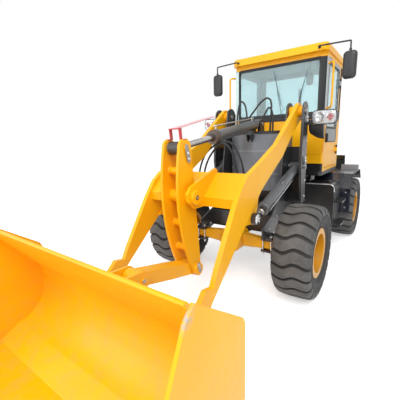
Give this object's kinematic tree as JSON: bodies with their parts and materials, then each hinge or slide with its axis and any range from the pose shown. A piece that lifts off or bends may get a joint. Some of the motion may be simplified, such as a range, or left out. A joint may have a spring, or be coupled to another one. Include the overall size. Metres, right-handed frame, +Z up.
{
  "type": "wheel loader",
  "caption": "Compact articulated wheel loader with twin-arm boom, Z-bar bucket linkage, general-purpose bucket, glazed cab and rear engine hood.",
  "frame": {"origin": "on the ground, under the middle of the bounding box", "axes": "+X forward towards the bucket, +Y to the left of the machine, +Z up"},
  "size_m": [6.81, 2.28, 3.13],
  "materials": {
    "tyre": "moulded rubber, dusty",
    "machine_yellow": "machine yellow gloss paint",
    "frame_grey": "anthracite paint",
    "panel_grey": "grey paint",
    "black_paint": "satin black paint",
    "bare_steel": "worn bare steel",
    "chrome_rod": "hard chrome",
    "engine_grey": "painted castings",
    "window_glass": "faintly blue-green tint",
    "black_plastic": "moulded plastic",
    "seat_cover": "woven cover",
    "lamp_lens": "clear lens",
    "red_lens": "red lens"
  },
  "bodies": {
    "rear_body": {"rear_frame": "frame_grey", "articulation_pins": "bare_steel", "engine_block": "engine_grey", "rear_axle": "machine_yellow", "cab_shell": "machine_yellow", "cab_roof": "machine_yellow", "cab_floor": "black_paint", "cab_glass": "window_glass", "door_hinges": "black_paint", "seat": "seat_cover", "steering_column": "black_plastic", "handrails": "machine_yellow", "mirrors": "black_plastic", "hood": "machine_yellow", "grilles": "black_paint", "counterweight": "frame_grey", "hitch_pin": "bare_steel", "exhaust": "black_paint", "rear_fenders": "black_paint", "side_tanks": "black_paint", "tail_lamps": "red_lens"},
    "front_body": {"front_frame": "frame_grey", "front_axle": "machine_yellow", "front_panel": "panel_grey", "tower_deck": "black_paint", "tower_pins": "bare_steel", "headlamps": "black_plastic", "headlamp_lenses": "lamp_lens"},
    "wheel_front_left": {"tyre_front_left": "tyre", "rim_front_left": "machine_yellow"},
    "wheel_front_right": {"tyre_front_right": "tyre", "rim_front_right": "machine_yellow"},
    "wheel_rear_left": {"tyre_rear_left": "tyre", "rim_rear_left": "machine_yellow"},
    "wheel_rear_right": {"tyre_rear_right": "tyre", "rim_rear_right": "machine_yellow"},
    "door_leaf_left": {"door_left": "machine_yellow", "door_glass_left": "window_glass"},
    "door_leaf_right": {"door_right": "machine_yellow", "door_glass_right": "window_glass"},
    "boom_body": {"boom": "machine_yellow"},
    "hinge_pins_body": {"bucket_hinge_pins": "bare_steel"},
    "bucket_body": {"bucket": "machine_yellow", "cutting_edge": "bare_steel"},
    "rocker_pin_body": {"rocker_pivot_pin": "bare_steel"},
    "rocker_body": {"rocker": "machine_yellow"},
    "link_pin_body": {"link_rear_pin": "bare_steel"},
    "link_body": {"bucket_link": "machine_yellow"},
    "tilt_barrel_body": {"tilt_barrel": "frame_grey"},
    "tilt_rod_body": {"tilt_rod": "chrome_rod"},
    "lift_barrel_left_body": {"lift_barrel_left": "frame_grey"},
    "lift_barrel_right_body": {"lift_barrel_right": "frame_grey"},
    "lift_rod_left_body": {"lift_rod_left": "chrome_rod"},
    "lift_rod_right_body": {"lift_rod_right": "chrome_rod"},
    "steer_barrel_left_body": {"steer_barrel_left": "black_paint"},
    "steer_barrel_right_body": {"steer_barrel_right": "black_paint"},
    "steer_rod_left_body": {"steer_rod_left": "chrome_rod"},
    "steer_rod_right_body": {"steer_rod_right": "chrome_rod"}
  },
  "joints": [
    {"name": "steer", "type": "hinge", "parent": "rear_body", "child": "front_body", "pos_m": [-0.925, 0, 0.85], "axis": [0, 0, 1], "range_deg": [-35, 35]},
    {"name": "wheel_front_left_spin", "type": "hinge", "parent": "front_body", "child": "wheel_front_left", "pos_m": [0.405, 0.9, 0.5375], "axis": [0, 1, 0], "continuous": true},
    {"name": "wheel_front_right_spin", "type": "hinge", "parent": "front_body", "child": "wheel_front_right", "pos_m": [0.405, -0.9, 0.5375], "axis": [0, 1, 0], "continuous": true},
    {"name": "wheel_rear_left_spin", "type": "hinge", "parent": "rear_body", "child": "wheel_rear_left", "pos_m": [-2.255, 0.9, 0.5375], "axis": [0, 1, 0], "continuous": true},
    {"name": "wheel_rear_right_spin", "type": "hinge", "parent": "rear_body", "child": "wheel_rear_right", "pos_m": [-2.255, -0.9, 0.5375], "axis": [0, 1, 0], "continuous": true},
    {"name": "boom_lift", "type": "hinge", "parent": "front_body", "child": "boom_body", "pos_m": [-0.311, 0, 2.156], "axis": [0, -1, 0], "range_deg": [0, 72]},
    {"name": "bucket_level", "type": "hinge", "parent": "boom_body", "child": "hinge_pins_body", "pos_m": [2.135, 0, 0.315], "axis": [0, 1, 0], "range_deg": [0, 73]},
    {"name": "bucket_tilt", "type": "hinge", "parent": "hinge_pins_body", "child": "bucket_body", "pos_m": [2.135, 0, 0.315], "axis": [0, 1, 0], "range_deg": [-45, 45]},
    {"name": "rocker_lift", "type": "hinge", "parent": "boom_body", "child": "rocker_pin_body", "pos_m": [1.515, 0, 1.29], "axis": [0, -1, 0], "range_deg": [0, 19.93]},
    {"name": "rocker_swing", "type": "hinge", "parent": "rocker_pin_body", "child": "rocker_body", "pos_m": [1.515, 0, 1.29], "axis": [0, -1, 0], "range_deg": [-10.29, 10.29]},
    {"name": "link_lift", "type": "hinge", "parent": "rocker_body", "child": "link_pin_body", "pos_m": [1.405, 0, 0.505], "axis": [0, -1, 0], "range_deg": [-54.04, 0]},
    {"name": "link_swing", "type": "hinge", "parent": "link_pin_body", "child": "link_body", "pos_m": [1.405, 0, 0.505], "axis": [0, -1, 0], "range_deg": [-13.57, 13.57]},
    {"name": "tilt_cylinder_swing", "type": "hinge", "parent": "front_body", "child": "tilt_barrel_body", "pos_m": [-0.275, 0, 2.03], "axis": [0, -1, 0], "range_deg": [0, 70.18]},
    {"name": "tilt_cylinder_stroke", "type": "slide", "parent": "tilt_barrel_body", "child": "tilt_rod_body", "axis": [0.9882, 0, -0.1533], "range_m": [-0.0703, 0.0703]},
    {"name": "lift_cylinder_swing_left", "type": "hinge", "parent": "front_body", "child": "lift_barrel_left_body", "pos_m": [-0.345, 0.557, 1.44], "axis": [0, -1, 0], "range_deg": [0, 65.93]},
    {"name": "lift_cylinder_stroke_left", "type": "slide", "parent": "lift_barrel_left_body", "child": "lift_rod_left_body", "axis": [0.9487, 0, -0.3162], "range_m": [0, 0.8305]},
    {"name": "lift_cylinder_swing_right", "type": "hinge", "parent": "front_body", "child": "lift_barrel_right_body", "pos_m": [-0.345, -0.557, 1.44], "axis": [0, -1, 0], "range_deg": [0, 65.93]},
    {"name": "lift_cylinder_stroke_right", "type": "slide", "parent": "lift_barrel_right_body", "child": "lift_rod_right_body", "axis": [0.9487, 0, -0.3162], "range_m": [0, 0.8305]},
    {"name": "steer_cylinder_swing_left", "type": "hinge", "parent": "rear_body", "child": "steer_barrel_left_body", "pos_m": [-1.445, 0.23, 0.9], "axis": [0, 0, 1], "range_deg": [-16.33, 16.33]},
    {"name": "steer_cylinder_stroke_left", "type": "slide", "parent": "steer_barrel_left_body", "child": "steer_rod_left_body", "axis": [0.9939, 0.1104, 0], "range_m": [-0.1758, 0.1758]},
    {"name": "steer_cylinder_swing_right", "type": "hinge", "parent": "rear_body", "child": "steer_barrel_right_body", "pos_m": [-1.445, -0.23, 0.9], "axis": [0, 0, 1], "range_deg": [-16.33, 16.33]},
    {"name": "steer_cylinder_stroke_right", "type": "slide", "parent": "steer_barrel_right_body", "child": "steer_rod_right_body", "axis": [0.9939, -0.1104, 0], "range_m": [-0.1758, 0.1758]},
    {"name": "door_left", "type": "hinge", "parent": "rear_body", "child": "door_leaf_left", "pos_m": [-1.927, 0.756, 2.1], "axis": [0, 0, 1], "range_deg": [0, 100]},
    {"name": "door_right", "type": "hinge", "parent": "rear_body", "child": "door_leaf_right", "pos_m": [-1.927, -0.756, 2.1], "axis": [0, 0, -1], "range_deg": [0, 100]}
  ],
  "couplings": [
    {"joint": "bucket_level", "follows": "boom_lift", "ratio": 1},
    {"joint": "rocker_lift", "follows": "boom_lift", "ratio": 0.27139},
    {"joint": "rocker_swing", "follows": "bucket_tilt", "ratio": 0.22412},
    {"joint": "link_lift", "follows": "boom_lift", "ratio": -0.73588},
    {"joint": "link_swing", "follows": "bucket_tilt", "ratio": -0.29562},
    {"joint": "tilt_cylinder_swing", "follows": "boom_lift", "ratio": 0.95559},
    {"joint": "tilt_cylinder_stroke", "follows": "bucket_tilt", "m_per_rad": -0.087714},
    {"joint": "lift_cylinder_swing_left", "follows": "boom_lift", "ratio": 0.89775},
    {"joint": "lift_cylinder_stroke_left", "follows": "boom_lift", "m_per_rad": 0.64793},
    {"joint": "lift_cylinder_swing_right", "follows": "boom_lift", "ratio": 0.89775},
    {"joint": "lift_cylinder_stroke_right", "follows": "boom_lift", "m_per_rad": 0.64793},
    {"joint": "steer_cylinder_swing_left", "follows": "steer", "ratio": 0.45752},
    {"joint": "steer_cylinder_stroke_left", "follows": "steer", "m_per_rad": -0.28219},
    {"joint": "steer_cylinder_swing_right", "follows": "steer", "ratio": 0.45752},
    {"joint": "steer_cylinder_stroke_right", "follows": "steer", "m_per_rad": 0.28219}
  ]
}
